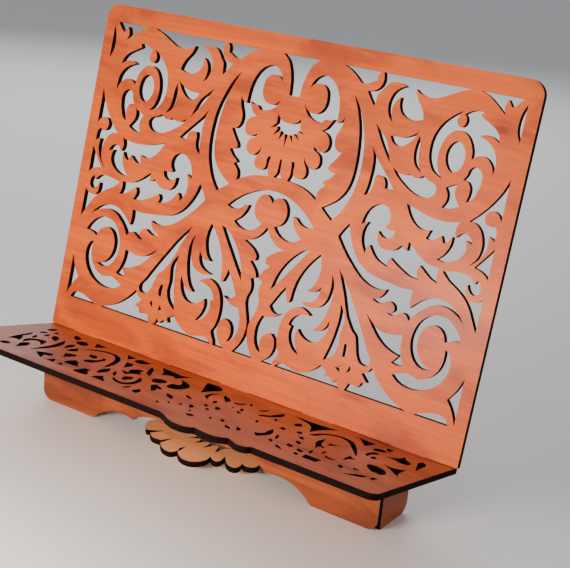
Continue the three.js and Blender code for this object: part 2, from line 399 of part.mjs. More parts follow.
function solid(geometry) {
  const g = geometry.clone()
  g.deleteAttribute('normal')
  g.deleteAttribute('uv')
  const merged = mergeVertices(g, 1e-4)
  return new wasm.Manifold(new wasm.Mesh({
    numProp: 3,
    vertProperties: new Float32Array(merged.attributes.position.array),
    triVerts: new Uint32Array(merged.index.array),
  }))
}

function toGeometry(manifold) {
  const out = manifold.getMesh()
  const geometry = new THREE.BufferGeometry()
  geometry.setAttribute('position', new THREE.BufferAttribute(new Float32Array(out.vertProperties), 3))
  geometry.setIndex(new THREE.BufferAttribute(new Uint32Array(out.triVerts), 1))
  const flat = geometry.toNonIndexed()
  flat.computeVertexNormals()
  return flat
}

const bar = (radius, length, sides = 16) => new THREE.CylinderGeometry(radius, radius, length, sides)
  .rotateZ(Math.PI / 2)

// ---------------------------------------------------------------- sheets
function sheet(shape, thick = ply) {
  return new THREE.ExtrudeGeometry(shape, { depth: thick, bevelEnabled: false, curveSegments: 6 })
}

// A flat sheet in x, y with openings cut through it.
function pierced(shape, openings) {
  let body = solid(sheet(shape))
  for (const points of openings) {
    body = body.subtract(solid(sheet(new THREE.Shape(points), ply + 2).translate(0, 0, -1)))
  }
  return toGeometry(body)
}

// Stands a flat sheet up: outline in x, z; front face at y = 0, back face at y = ply.
const stood = (geometry) => geometry.rotateX(Math.PI / 2).translate(0, ply, 0)

// Rounded corner from angle a to b, degrees, added to a shape.
function round(shape, x, y, r, a, b) {
  shape.absarc(x, y, r, rad(a), rad(b), b < a)
}

function backrest() {
  const w = panelWidth / 2
  const r = panelCornerRadius
  const shape = new THREE.Shape()
  shape.moveTo(-w, gap)
  for (const c of tabCentres) {
    shape.lineTo(c - tabWidth / 2, gap)
    shape.lineTo(c - tabWidth / 2, -tabDepth)
    shape.lineTo(c + tabWidth / 2, -tabDepth)
    shape.lineTo(c + tabWidth / 2, gap)
  }
  shape.lineTo(w, gap)
  round(shape, w - r, panelHeight - r, r, 0, 90)
  round(shape, r - w, panelHeight - r, r, 90, 180)
  return mesh('backrest', stood(pierced(shape, backrestOpenings())), 'panel')
}

// Rear edge of a shelf layer of half width w, drawn from right to left, notched for the backrest's tabs.
function notchedEdge(shape, w) {
  shape.moveTo(w, ply)
  for (const c of [...tabCentres].reverse()) {
    const half = tabWidth / 2 + gap
    shape.lineTo(c + half, ply)
    shape.lineTo(c + half, -gap)
    shape.lineTo(c - half, -gap)
    shape.lineTo(c - half, ply)
  }
  shape.lineTo(-w, ply)
}

// Front edge, drawn from left to right, scalloped right of the middle.
function frontEdge(shape, w) {
  const r = shelfCornerRadius
  const drawn = refit(read(scallops), shelfDrawn, shelfField)
  const front = smooth([...drawn, { x: w, y: 0, sharp: true }, { x: 0, y: 0, sharp: true }])
  shape.lineTo(-w, r - shelfDepth)
  round(shape, r - w, r - shelfDepth, r, 180, 270)
  front.slice(0, -2).forEach((p) => shape.lineTo(p.x, p.y))
  round(shape, w - r, r - shelfDepth, r, -90, 0)
}

function shelfTop() {
  const shape = new THREE.Shape()
  notchedEdge(shape, halfShelf)
  frontEdge(shape, halfShelf)
  const geometry = pierced(shape, shelfOpenings.map((points) => smooth(points)))
  return mesh('shelf_top', geometry.translate(0, 0, -ply), 'shelf')
}

// The second layer, under the shelf's rear edge only.
function batten() {
  const w = Math.max(...tabCentres) + tabWidth / 2 + gap + battenMargin
  const shape = new THREE.Shape()
  notchedEdge(shape, w)
  shape.lineTo(-w, -battenWidth)
  shape.lineTo(w, -battenWidth)
  return mesh('batten_rear', sheet(shape).translate(0, 0, -layer - ply), 'base')
}

// ---------------------------------------------------------------- base box
// Upright cross sheet with rounded outer feet and an arched underside.
function railShape(halfWidth, top, crownHeight) {
  const r = footRadius
  const shape = new THREE.Shape()
  const drawn = read(`
    93,0! 86.4,4.6 78.6,9 69,11.2 61,11.2 55.6,10! 53.2,12.4 46,15.4 38,${crownHeight}! 0,${crownHeight}!
    0,-40!`).map((p) => ({ ...p, x: p.x * baseWidth / 280 }))
  const arch = smooth(drawn, 30).filter((p) => p.x > 0)
  shape.moveTo(-halfWidth, top)
  shape.lineTo(-halfWidth, r)
  round(shape, r - halfWidth, r, r, 180, 270)
  arch.forEach((p) => shape.lineTo(-p.x, p.y))
  arch.reverse().forEach((p) => shape.lineTo(p.x, p.y))
  round(shape, halfWidth - r, r, r, -90, 0)
  shape.lineTo(halfWidth, top)
  return shape
}

function apron() {
  const shape = railShape(baseWidth / 2, slope(ply, layer), archTop)
  return mesh('apron_front', stood(sheet(shape)), 'base')
}

function rearRail() {
  const shape = railShape(baseWidth / 2 - ply - gap, slope(baseDepth, 2 * layer), keelTop + gap)
  return mesh('rear_rail', stood(sheet(shape)).translate(0, baseDepth - ply, 0), 'base')
}

// Sheet standing in the y-z plane, centred on x. Its top follows the shelf and steps under the rear batten.
function sideSheet(name, x, y0, z0, y1, rear) {
  const step = -battenWidth - gap
  const points = [
    new THREE.Vector2(y0, slope(y0, layer)), new THREE.Vector2(y0, z0), ...rear,
    new THREE.Vector2(y1, slope(y1, 2 * layer)), fromShelf(step, 2 * layer), fromShelf(step, layer),
  ]
  const geometry = sheet(new THREE.Shape(points)).translate(0, 0, -ply / 2)
  const node = mesh(name, geometry.rotateX(Math.PI / 2).rotateZ(Math.PI / 2), 'base')
  node.position.x = x
  return node
}

function cheek(name, side) {
  const r = footRadius
  const arc = [0, 1, 2, 3, 4].map((k) => {
    const a = rad(22.5 * k - 90)
    return new THREE.Vector2(baseDepth - r + r * Math.cos(a), r + r * Math.sin(a))
  })
  return sideSheet(name, side * (baseWidth - ply) / 2, ply + gap, 0, baseDepth, arc)
}

function rib(name, side) {
  const y1 = baseDepth - ply - gap
  const z0 = keelTop + gap
  return sideSheet(name, side * keelRibX, keelRibFront, z0, y1, [new THREE.Vector2(y1, z0)])
}

// Keel board seen from above: a flower head in front, a plain tongue back to the rear rail.
const keelOutline = `
  -32,37! -32,26! -40,20 -47,16 -50,10.5 -47.6,4 -42,-1.6! -32,5.2! -37.4,-3.6! -32,-7.4 -25,-7.4!
  -20.4,1.4! -22.6,-10.6! -16.4,-15.6 -9.4,-16.4 -8.6,-7.4! -6.2,-3! -6,-12.8! 0,-17.6 6.8,-18.8
  12.2,-15.2 14.2,-3.2! 17,-5.4 21.4,-6 22.4,-2.4 21,4! 24.4,-0.4 29.6,-4.6 35,-4.8 36.2,-0.8 34.6,3.6!
  39,1.8 43,3 44.8,7 43.4,12 39,18 32,26! 32,37!`
const keelEye = `
  -20,19! -14.4,15.8 -10.6,14.4! -14.6,8.2! -9,12.2 -5.6,13! -6.2,5! -1.4,12.4! 2.2,12.6! 2.6,3.8!
  6.2,12.4! 9,12.6! 12.6,3.6! 13.8,12.8! 16,14.6 20.6,19! 14,23.6 0,25.4 -14,23.6`

function keel() {
  const geometry = pierced(new THREE.Shape(smooth(read(keelOutline))), [smooth(read(keelEye))])
  return mesh('keel_board', geometry.translate(0, 0, keelTop - ply), 'keel')
}

// ---------------------------------------------------------------- rear leg
// Drawn hanging from the hinge axis at the origin; its front face is axisOffset behind the axis.
function rearLeg() {
  const shape = new THREE.Shape()
  const r = 6
  const foot = legFootWidth / 2
  const top = legTopWidth / 2
  shape.moveTo(-heelHalf, heel)
  shape.lineTo(-heelHalf, -1)
  shape.lineTo(-top, -1)
  shape.lineTo(-top, -14)
  shape.quadraticCurveTo(-foot, -26, -foot, -legLength + r)
  round(shape, r - foot, r - legLength, r, 180, 270)
  shape.lineTo(-15, -legLength)
  shape.quadraticCurveTo(0, 18 - legLength, 15, -legLength)
  round(shape, foot - r, r - legLength, r, -90, 0)
  shape.quadraticCurveTo(foot, -26, top, -14)
  shape.lineTo(top, -1)
  shape.lineTo(heelHalf, -1)
  shape.lineTo(heelHalf, heel)
  const window = new THREE.Path()
  window.absellipse(0, -27, 16, 10, 0, 2 * Math.PI, true)
  shape.holes = [window]
  return mesh('rear_leg', stood(sheet(shape)).translate(0, axisOffset, 0), 'base')
}

// ---------------------------------------------------------------- hinges
// Everything in the hinge's own frame: the axis runs along x through the origin and the leaf hangs down.
const knuckle = (leafWidth - 2 * gap) / 3
const outer = knuckle + gap

function leaf(name, face, own, other) {
  const y = face * (barrelRadius - leafThick / 2)
  let body = solid(new THREE.BoxGeometry(leafWidth, leafThick, leafHeight).translate(0, y, -leafHeight / 2))
  for (const x of other) {
    const room = new THREE.BoxGeometry(knuckle + 2 * gap, 4, 2 * axisOffset).translate(x, y, 0)
    body = body.subtract(solid(room))
  }
  for (const x of own) {
    body = body.add(solid(bar(barrelRadius, knuckle).translate(x, 0, 0)))
  }
  body = body.subtract(solid(bar(pinRadius + boreClearance, leafWidth + 4)))
  return mesh(name, toGeometry(body), 'brass')
}

function pin(name) {
  return mesh(name, bar(pinRadius, leafWidth + 1), 'brass')
}

function screw(name, x, face) {
  const head = new THREE.CylinderGeometry(screwRadius, screwRadius, screwHead, 12)
  const node = mesh(name, head, 'brass')
  node.position.set(x, face * (barrelRadius - leafThick - gap - screwHead / 2), 1.8 - leafHeight * 0.8)
  return node
}

// The two halves of a hinge: what stays on the backrest and what turns with the leg.
function hinge(tag) {
  const fixed = new THREE.Group()
  fixed.add(leaf(`hinge_${tag}_leaf_back`, -1, [-outer, outer], [0]), pin(`hinge_${tag}_pin`))
  fixed.add(screw(`hinge_${tag}_screw_back_a`, -7, -1), screw(`hinge_${tag}_screw_back_b`, 7, -1))
  const moving = new THREE.Group()
  moving.add(leaf(`hinge_${tag}_leaf_leg`, 1, [0], [-outer - gap, outer + gap]))
  moving.add(screw(`hinge_${tag}_screw_leg_a`, -3, 1), screw(`hinge_${tag}_screw_leg_b`, 3, 1))
  return { fixed, moving }
}

// ---------------------------------------------------------------- assembly
const easel = new THREE.Group()
easel.name = 'easel'
easel.position.set(0, jointSetback, jointHeight)
easel.rotation.x = rad(-lean)
easel.add(backrest(), shelfTop(), batten())

const axisAt = new THREE.Group()
axisAt.position.set(0, axisY, hingeHeight)
const leg = new THREE.Group()
leg.name = 'leg'
leg.rotation.x = rad(lean + legAngle)
leg.add(rearLeg())
for (const [tag, x] of [['left', -hingeX], ['right', hingeX]]) {
  const { fixed, moving } = hinge(tag)
  fixed.position.x = x
  moving.position.x = x
  axisAt.add(fixed)
  leg.add(moving)
}
axisAt.add(leg)
easel.add(axisAt)

const stand = new THREE.Group()
stand.name = 'music_stand'
stand.add(easel, apron(), rearRail(), cheek('cheek_left', -1), cheek('cheek_right', 1))
stand.add(rib('keel_rib_left', -1), rib('keel_rib_right', 1), keel())
const extent = new THREE.Box3().setFromObject(stand, true)
stand.position.y = -(extent.min.y + extent.max.y) / 2

export default stand
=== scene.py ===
"""Looks for a tabletop music stand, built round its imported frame.

The stand is cut from thin plywood: a fretwork backrest, a fretwork shelf with a batten under its
rear edge, a low arched base with a flower-headed keel board, and a folding rear leg on two brass
hinges.
"""

import logging
import math
from dataclasses import dataclass, field
from enum import Enum
from typing import Any, Optional, Union

import bmesh
import bpy
from mathutils import Euler, Matrix, Vector


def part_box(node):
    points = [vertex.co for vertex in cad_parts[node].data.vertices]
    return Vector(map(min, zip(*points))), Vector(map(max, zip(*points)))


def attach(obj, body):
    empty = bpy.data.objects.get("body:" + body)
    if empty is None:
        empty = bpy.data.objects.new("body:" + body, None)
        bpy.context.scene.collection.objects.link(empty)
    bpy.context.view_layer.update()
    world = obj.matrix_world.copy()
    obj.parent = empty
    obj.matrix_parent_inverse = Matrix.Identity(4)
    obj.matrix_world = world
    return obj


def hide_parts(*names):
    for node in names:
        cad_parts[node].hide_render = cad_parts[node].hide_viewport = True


LOG = logging.getLogger("music_stand")
MM = 0.001
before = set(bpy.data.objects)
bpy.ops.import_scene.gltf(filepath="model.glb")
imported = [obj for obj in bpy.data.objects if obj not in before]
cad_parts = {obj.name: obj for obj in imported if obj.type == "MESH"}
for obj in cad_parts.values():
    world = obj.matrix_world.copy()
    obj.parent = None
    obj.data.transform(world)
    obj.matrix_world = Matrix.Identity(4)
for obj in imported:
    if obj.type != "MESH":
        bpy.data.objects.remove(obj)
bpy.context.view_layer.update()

LEAN = math.radians(12.0)
LEG_ANGLE = math.radians(38.0)
PLY = 4.0 * MM
JOINT_GAP = 0.3 * MM
Triple = tuple[float, float, float]
Colour = Triple
Span = tuple[float, float]


def srgb(red: int, green: int, blue: int) -> Colour:
    """Turns an everyday 0 to 255 colour into the linear values that shaders use.

    Args:
        red: Red channel.
        green: Green channel.
        blue: Blue channel.

    Returns:
        The linear colour.
    """
    def linear(value: int) -> float:
        """One channel."""
        share = value / 255.0
        return share / 12.92 if share <= 0.04045 else ((share + 0.055) / 1.055) ** 2.4

    return linear(red), linear(green), linear(blue)


# ------------------------------------------------------------------ shader expressions
Number = Union[float, "Value"]


class Value:
    """A number socket that can be used in Python arithmetic."""

    def __init__(self, tree: bpy.types.NodeTree, socket: bpy.types.NodeSocket) -> None:
        """Wraps a socket of a tree."""
        self.tree = tree
        self.socket = socket

    def _math(self, operation: str, *inputs: Number, clamp: bool = False) -> "Value":
        """Adds a Math node.

        Args:
            operation: The Math node's operation.
            inputs: Its inputs, in order.
            clamp: Whether the result is kept between 0 and 1.

        Returns:
            The node's result.
        """
        node = self.tree.nodes.new("ShaderNodeMath")
        node.operation = operation
        node.use_clamp = clamp
        for slot, value in zip(node.inputs, inputs):
            if isinstance(value, Value):
                self.tree.links.new(value.socket, slot)
            else:
                slot.default_value = value
        return Value(self.tree, node.outputs[0])

    def __add__(self, other: Number) -> "Value":
        """Sum."""
        return self._math("ADD", self, other)

    __radd__ = __add__

    def __sub__(self, other: Number) -> "Value":
        """Difference."""
        return self._math("SUBTRACT", self, other)

    def __rsub__(self, other: Number) -> "Value":
        """Difference, reflected."""
        return self._math("SUBTRACT", other, self)

    def __mul__(self, other: Number) -> "Value":
        """Product."""
        return self._math("MULTIPLY", self, other)

    __rmul__ = __mul__

    def __pow__(self, other: Number) -> "Value":
        """Power."""
        return self._math("POWER", self, other)

    def __abs__(self) -> "Value":
        """Size without its sign."""
        return self._math("ABSOLUTE", self)

    def above(self, limit: Number) -> "Value":
        """One where the value is over the limit, otherwise zero."""
        return self._math("GREATER_THAN", self, limit)

    def clamped(self) -> "Value":
        """The value kept between 0 and 1."""
        return self._math("ADD", self, 0.0, clamp=True)

    def sine(self) -> "Value":
        """Sine of the value in radians."""
        return self._math("SINE", self)

    def step(self, low: float, high: float) -> "Value":
        """A smooth rise from 0 at low to 1 at high."""
        node = self.tree.nodes.new("ShaderNodeMapRange")
        node.interpolation_type = "SMOOTHSTEP"
        self.tree.links.new(self.socket, node.inputs["Value"])
        node.inputs["From Min"].default_value = low
        node.inputs["From Max"].default_value = high
        return Value(self.tree, node.outputs["Result"])


class Palette:
    """A material's node tree with one method for any node."""

    def __init__(self, name: str) -> None:
        """Makes an empty material of that name with an output node."""
        self.material = bpy.data.materials.new(name)
        self.material.use_nodes = True
        self.tree = self.material.node_tree
        self.tree.nodes.clear()
        self.output = self.tree.nodes.new("ShaderNodeOutputMaterial")

    def node(self, kind: str, settings: Optional[dict[str, Any]] = None,
             **sockets: Any) -> bpy.types.Node:
        """Adds a node.

        Args:
            kind: The node's type.
            settings: Attributes that are set before its sockets.
            sockets: Values or links, by socket name with underscores for spaces.

        Returns:
            The new node.
        """
        made = self.tree.nodes.new(kind)
        for key, value in (settings or {}).items():
            setattr(made, key, value)
        for key, value in sockets.items():
            self.feed(made, key.replace("_", " "), value)
        return made

    def feed(self, node: bpy.types.Node, name: str, value: Any) -> None:
        """Sets or links the socket of a node that is enabled and has that name."""
        slot = next(s for s in node.inputs if s.name == name and s.enabled)
        if isinstance(value, Value):
            value = value.socket
        if isinstance(value, bpy.types.NodeSocket):
            self.tree.links.new(value, slot)
            return
        if slot.type == "RGBA" and len(value) == 3:
            value = (*value, 1.0)
        slot.default_value = value

    def value(self, socket: bpy.types.NodeSocket) -> Value:
        """A socket as a number for arithmetic."""
        return Value(self.tree, socket)

    def blend(self, share: Number, first: Any, second: Any) -> bpy.types.NodeSocket:
        """Mixes two colours.

        Args:
            share: How much of the second colour.
            first: A colour or a link.
            second: A colour or a link.

        Returns:
            The mixed colour.
        """
        mix = self.node("ShaderNodeMix", {"data_type": "RGBA"})
        self.feed(mix, "Factor", share)
        self.feed(mix, "A", first)
        self.feed(mix, "B", second)
        return next(s for s in mix.outputs if s.enabled and s.type == "RGBA")

    def noise(self, place: bpy.types.NodeSocket, scale: float, detail: float = 2.0,
              roughness: float = 0.5, distortion: float = 0.0) -> Value:
        """A noise pattern from 0 to 1.

        Args:
            place: Where the pattern is read.
            scale: Features per metre.
            detail: Octaves.
            roughness: Strength of the finer octaves.
            distortion: Warp.

        Returns:
            The noise value.
        """
        made = self.node("ShaderNodeTexNoise", {"noise_dimensions": "3D"}, Vector=place,
                         Scale=scale, Detail=detail, Roughness=roughness, Distortion=distortion)
        return self.value(made.outputs[0])

    def stretched(self, place: bpy.types.NodeSocket, factors: Triple) -> bpy.types.NodeSocket:
        """The place multiplied axis by axis, which stretches a pattern."""
        made = self.node("ShaderNodeVectorMath", {"operation": "MULTIPLY"})
        self.tree.links.new(place, made.inputs[0])
        made.inputs[1].default_value = factors
        return made.outputs[0]

    def finish(self, shader: bpy.types.Node) -> bpy.types.Material:
        """Links the shader to the output and hands the material back."""
        self.tree.links.new(shader.outputs[0], self.output.inputs["Surface"])
        return self.material


# ------------------------------------------------------------------ sheet frames
@dataclass(frozen=True)
class SheetFrame:
    """Where a flat sheet lies: local x and y in its plane, local z through its thickness."""

    turn: Triple
    origin: Vector

    def matrix(self) -> Matrix:
        """From the sheet's own frame to the stand's."""
        return Matrix.Translation(self.origin) @ Euler(self.turn, "XYZ").to_matrix().to_4x4()


def shelf_corner() -> Vector:
    """The line where the shelf's top meets the backrest's front, found from the backrest's box.

    Returns:
        The point of that line in the middle of the stand.
    """
    low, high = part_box("backrest")
    height = (high.z - low.z - PLY * math.sin(LEAN)) / math.cos(LEAN)
    tabs = 2 * PLY + JOINT_GAP
    up = Vector((0.0, math.sin(LEAN), math.cos(LEAN)))
    front_top = Vector((0.0, high.y - PLY * math.cos(LEAN), high.z))
    return front_top - up * (height - tabs)


CORNER = shelf_corner()
QUARTER = math.pi / 2


class Place(Enum):
    """The planes in which the sheets lie."""

    BACKREST = SheetFrame((QUARTER - LEAN, 0.0, 0.0), CORNER)
    SHELF = SheetFrame((-LEAN, 0.0, 0.0), CORNER)
    CROSS = SheetFrame((QUARTER, 0.0, 0.0), Vector((0.0, 0.0, 0.0)))
    SIDE = SheetFrame((QUARTER, 0.0, QUARTER), Vector((0.0, 0.0, 0.0)))
    LEVEL = SheetFrame((0.0, 0.0, 0.0), Vector((0.0, 0.0, 0.0)))
    LEG = SheetFrame((QUARTER + LEG_ANGLE, 0.0, 0.0), Vector((0.0, 0.0, 0.0)))


# ------------------------------------------------------------------ finishes
@dataclass(frozen=True)
class Grain:
    """A noise pattern drawn out along the sheet's x axis."""

    along: float
    across: float
    detail: float
    roughness: float = 0.5
    distortion: float = 0.0

    def on(self, p: Palette, place: bpy.types.NodeSocket) -> Value:
        """Adds the pattern to a material.

        Args:
            p: The material being made.
            place: Where the pattern is read.

        Returns:
            The pattern, from 0 to 1.
        """
        where = p.stretched(place, (self.along, self.across, self.across))
        return p.noise(where, 1.0, self.detail, self.roughness, self.distortion)


DRIFT = Grain(9.0, 22.0, 3.0)
FIBRE = Grain(16.0, 1500.0, 3.0, 0.6)
STREAK = Grain(7.0, 330.0, 3.0, 0.55, 0.3)
BROAD = Grain(4.0, 60.0, 2.0, 0.5, 0.6)
CLOUD = Grain(13.0, 34.0, 4.0, 0.62, 0.7)
PORES = Grain(70.0, 2400.0, 2.0, 0.7)
BRUSHING = Grain(300.0, 9000.0, 2.0)
SOOT_SCALE = (260.0, 260.0, 900.0)

# Where each pattern rises from nothing to full strength.
PORE_BAND = (0.6, 0.74)
TONE_BAND = (0.3, 0.7)
CLOUD_BAND = (0.44, 0.68)
DRIFT_BAND = (0.42, 0.7)
SOOT_BAND = (0.5, 0.8)
TARNISH_BAND = (0.45, 0.72)

# How much of each colour is laid over the one before it.
DRIFT_SHARE = 0.22
PORE_SHARE = 0.3
TARNISH_SHARE = 0.55
PLY_SHARE = 0.35

# A knot's distance is squeezed into an oval and ruffled by the grain.
KNOT_OVAL = (0.35, 1.6)
KNOT_RUFFLE = (0.02, 0.008)
KNOT_HALO = (1.0 * MM, 12.0 * MM)
KNOT_HEART = (0.6 * MM, 4.0 * MM)
KNOT_HALO_SHARE = 0.6
KNOT_HEART_SHARE = 0.5

FACE_LEAN = 0.85
EDGE_ROUGHNESS = 0.95
EDGE_SPECULAR = 0.12
FACE_SPECULAR = 0.28
COAT_ROUGHNESS = 0.25
TONE_ROUGHNESS = 0.16
WOOD_RELIEF = 0.1 * MM
BRASS_RELIEF = 0.03 * MM


@dataclass(frozen=True)
class StainedPly:
    """Stained and varnished plywood whose laser-cut edges are scorched."""

    name: str
    light: Colour
    dark: Colour
    blotch: Colour
    pore: Colour = srgb(72, 22, 12)
    scorch: Colour = srgb(12, 4, 3)
    scorch_warm: Colour = srgb(34, 12, 7)
    gloss: float = 0.42
    coat: float = 0.08
    cloudy: float = 0.8
    knot: Optional[Span] = None

    def material(self, place: SheetFrame) -> bpy.types.Material:
        """Makes the material for sheets that lie in one plane.

        Args:
            place: The plane of the sheet.

        Returns:
            The material.
        """
        p = Palette(self.name)
        where = p.node("ShaderNodeTexCoord")
        flat = p.node("ShaderNodeMapping", {"vector_type": "TEXTURE"},
                      Vector=where.outputs["Object"], Location=place.origin,
                      Rotation=place.turn).outputs[0]
        facing = p.node("ShaderNodeMapping", {"vector_type": "TEXTURE"},
                        Vector=where.outputs["Normal"], Rotation=place.turn).outputs[0]
        normal_z = p.value(p.node("ShaderNodeSeparateXYZ", Vector=facing).outputs["Z"])
        face = abs(normal_z).above(FACE_LEAN)
        wood = self._wood(p, flat)
        cut = p.node("ShaderNodeBsdfPrincipled", Base_Color=self._edge(p, flat),
                     Roughness=EDGE_ROUGHNESS, Specular_IOR_Level=EDGE_SPECULAR)
        surface = p.node("ShaderNodeMixShader", Fac=face)
        p.tree.links.new(cut.outputs[0], surface.inputs[1])
        p.tree.links.new(wood.outputs[0], surface.inputs[2])
        return p.finish(surface)

    def _wood(self, p: Palette, place: bpy.types.NodeSocket) -> bpy.types.Node:
        """The stained and varnished face.

        Args:
            p: The material being made.
            place: Coordinates with x along the grain.

        Returns:
            The face's shader.
        """
        drift = DRIFT.on(p, place)
        fibre = FIBRE.on(p, place)
        streak = STREAK.on(p, place)
        broad = BROAD.on(p, place)
        cloud = CLOUD.on(p, place)
        pores = PORES.on(p, place).step(*PORE_BAND)
        tone = 0.4 * streak + 0.25 * fibre + 0.35 * broad
        colour = p.blend(tone.step(*TONE_BAND), self.dark, self.light)
        colour = p.blend(cloud.step(*CLOUD_BAND) * self.cloudy, colour, self.blotch)
        colour = p.blend(drift.step(*DRIFT_BAND) * DRIFT_SHARE, colour, self.light)
        colour = p.blend(pores * PORE_SHARE, colour, self.pore)
        if self.knot is not None:
            parts = p.node("ShaderNodeSeparateXYZ", Vector=place)
            x = p.value(parts.outputs["X"]) - self.knot[0] + (cloud - 0.5) * KNOT_RUFFLE[0]
            y = p.value(parts.outputs["Y"]) - self.knot[1] + (streak - 0.5) * KNOT_RUFFLE[1]
            away = (x * x * KNOT_OVAL[0] + y * y * KNOT_OVAL[1]) ** 0.5
            halo = (1 - away.step(*KNOT_HALO)) * KNOT_HALO_SHARE
            heart = (1 - away.step(*KNOT_HEART)) * KNOT_HEART_SHARE
            colour = p.blend(halo, colour, self.blotch)
            colour = p.blend(heart, colour, self.pore)
        relief = 0.6 * fibre + 0.4 * streak - 0.5 * pores
        bump = p.node("ShaderNodeBump", Strength=0.3, Distance=WOOD_RELIEF, Height=relief)
        return p.node("ShaderNodeBsdfPrincipled", Base_Color=colour,
                      Roughness=self.gloss + TONE_ROUGHNESS * tone,
                      Specular_IOR_Level=FACE_SPECULAR, Coat_Weight=self.coat,
                      Coat_Roughness=COAT_ROUGHNESS, Normal=bump.outputs[0])

    def _edge(self, p: Palette, place: bpy.types.NodeSocket) -> bpy.types.NodeSocket:
        """Colour of the scorched cut edge, with the plies just showing.

        Args:
            p: The material being made.
            place: Coordinates in the sheet's own frame.

        Returns:
            The colour.
        """
        depth = p.value(p.node("ShaderNodeSeparateXYZ", Vector=place).outputs["Z"])
        plies = ((depth * (2 * math.pi / MM)).sine() * 0.5 + 0.5) * PLY_SHARE
        soot = p.noise(p.stretched(place, SOOT_SCALE), 1.0, 3.0, 0.6).step(*SOOT_BAND)
        return p.blend((plies * 0.6 + soot * 0.5).clamped(), self.scorch, self.scorch_warm)


@dataclass(frozen=True)
class Brass:
    """Small stamped brass, lightly tarnished and brushed along the pin."""

    name: str
    bright: Colour
    tarnish: Colour

    def material(self) -> bpy.types.Material:
        """Makes the material."""
        p = Palette(self.name)
        place = p.node("ShaderNodeTexCoord").outputs["Object"]
        brushed = BRUSHING.on(p, place)
        stain = p.noise(place, 260.0, 4.0, 0.6).step(*TARNISH_BAND)
        colour = p.blend(stain * TARNISH_SHARE, self.bright, self.tarnish)
        bump = p.node("ShaderNodeBump", Strength=0.25, Distance=BRASS_RELIEF, Height=brushed)
        shader = p.node("ShaderNodeBsdfPrincipled", Base_Color=colour, Metallic=1.0,
                        Roughness=0.26 + 0.2 * stain + 0.1 * brushed, Normal=bump.outputs[0])
        return p.finish(shader)


PANEL_PLY = StainedPly("panel_ply", light=srgb(232, 102, 18), dark=srgb(198, 70, 8),
                       blotch=srgb(158, 48, 8), knot=(148 * MM, 207 * MM))
SHELF_PLY = StainedPly("shelf_ply", light=srgb(196, 102, 50), dark=srgb(152, 66, 28),
                       blotch=srgb(112, 38, 16), coat=0.35)
# The base ply's colours are darker than the backrest's: painted shade, standing in for the shade
# that the shelf casts on the base.
SHADED_BASE_PLY = StainedPly("base_ply_painted_shade", light=srgb(162, 74, 28), dark=srgb(112, 44, 14),
                      blotch=srgb(80, 26, 8))
# The keel board's colours are far lighter than the rest of the ply: painted light, standing in for
# the light on its upturned face.
PAINTED_LIT_KEEL_PLY = StainedPly("keel_ply_painted_lit", light=srgb(250, 182, 128), dark=srgb(236, 148, 94),
                      blotch=srgb(210, 112, 66), cloudy=0.35)
HINGE_BRASS = Brass("hinge_brass", bright=srgb(214, 178, 104), tarnish=srgb(132, 96, 48))


# ------------------------------------------------------------------ sheets
CORNER_TURN = math.radians(49.0)
STRAIGHT_RATIO = 3.0
WALL_EDGE = math.radians(40.0)
UPPER_FACE = 0.9
FRAME_WELD = 0.002 * MM
CURVE_WELD = 0.004 * MM


